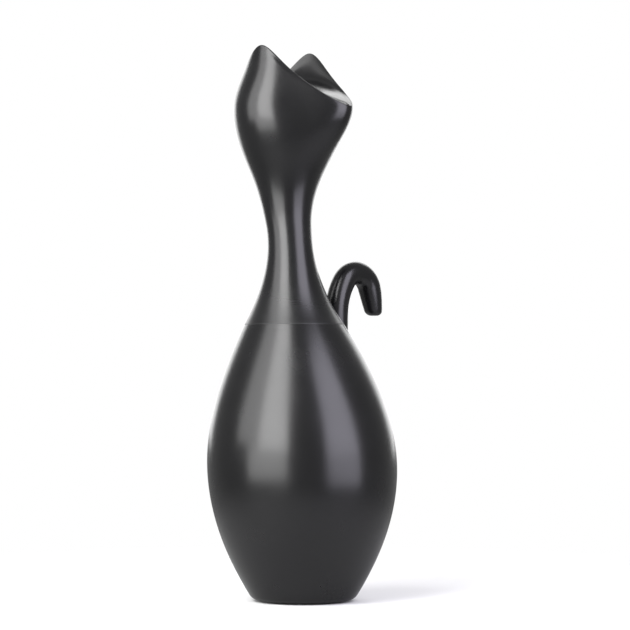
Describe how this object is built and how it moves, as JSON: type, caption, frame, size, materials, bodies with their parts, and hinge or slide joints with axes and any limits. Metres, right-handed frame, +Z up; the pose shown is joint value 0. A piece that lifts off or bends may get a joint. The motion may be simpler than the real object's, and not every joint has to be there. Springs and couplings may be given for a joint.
{
  "type": "ceramic cat figurine",
  "caption": "Tall stylised sitting cat in black satin-glazed ceramic: egg-shaped body, slender neck, scooped head with pointed ears and a hooked tail.",
  "frame": {"origin": "centre of the felt's underside, on the plane that the figurine rests on", "axes": "+Z up, +X the way the head faces, +Y the side that the hooked tail stands on"},
  "size_m": [0.1137, 0.1362, 0.3313],
  "materials": {
    "glaze": "satin black glaze over slip-cast earthenware",
    "slip": "fired slip under the same black glaze",
    "stopper": "soft matte rubber",
    "felt": "pressed wool felt"
  },
  "bodies": {
    "root": {"body_casting": "glaze", "head_casting": "glaze", "tail_casting": "glaze", "neck_slip_joint": "slip", "tail_slip_joint": "slip", "pour_hole_stopper": "stopper", "base_felt": "felt"}
  },
  "joints": []
}
